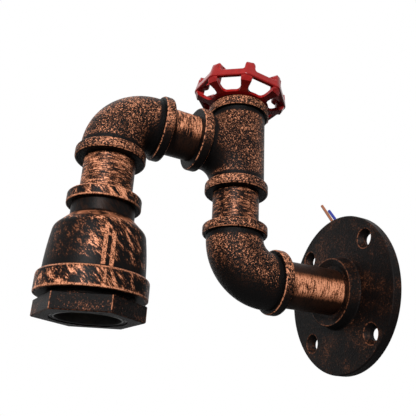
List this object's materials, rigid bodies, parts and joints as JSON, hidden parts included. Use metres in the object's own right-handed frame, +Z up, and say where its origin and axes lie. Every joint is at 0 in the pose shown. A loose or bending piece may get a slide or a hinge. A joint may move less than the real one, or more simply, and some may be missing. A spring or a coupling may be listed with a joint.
{
  "type": "industrial pipe wall light",
  "caption": "Wall light made of iron pipe fittings, with a round wall flange, a bell-shaped lamp cup facing down and a red valve handwheel that turns.",
  "frame": {"origin": "centre of the wall flange's back face, on the wall", "axes": "+Y goes into the wall and the light stands out towards -Y, +Z is up"},
  "size_m": [0.0934, 0.1927, 0.1724],
  "materials": {
    "wall_flange": "black casting rubbed with copper",
    "pipe": "brushed antique copper",
    "fitting": "black casting rubbed with copper",
    "reducer": "black casting brushed with copper",
    "bushing": "dark casting, satin",
    "bakelite": "black, moulded",
    "ceramic": "off-white, matte",
    "brass": "bright",
    "steel": "zinc plated",
    "plug": "black, satin",
    "wheel_red": "red gloss paint",
    "wire_brown": "brown sleeve",
    "wire_blue": "blue sleeve"
  },
  "bodies": {
    "fitting_line": {"wall_flange": "wall_flange", "wall_nipple": "pipe", "lower_elbow": "fitting", "riser_nipple": "pipe", "tee": "fitting", "arm_nipple": "pipe", "upper_elbow": "fitting", "drop_nipple": "pipe", "bell_reducer": "reducer", "hex_bushing": "bushing", "lampholder_body": "bakelite", "lampholder_cap": "bakelite", "screw_shell": "brass", "contact_block": "ceramic", "live_terminal": "brass", "neutral_terminal": "brass", "centre_contact": "brass", "shell_contact": "brass", "spindle_plug": "plug", "brown_lead": "wire_brown", "blue_lead": "wire_blue", "brown_tail": "wire_brown", "blue_tail": "wire_blue"},
    "handwheel_group": {"valve_spindle": "steel", "spindle_clip": "steel", "thrust_washer": "steel", "handwheel": "wheel_red", "wheel_nut": "steel"}
  },
  "joints": [
    {"name": "handwheel_turn", "type": "hinge", "parent": "fitting_line", "child": "handwheel_group", "pos_m": [0, -0.0734, 0.1052], "axis": [0, 0, 1], "continuous": true}
  ]
}
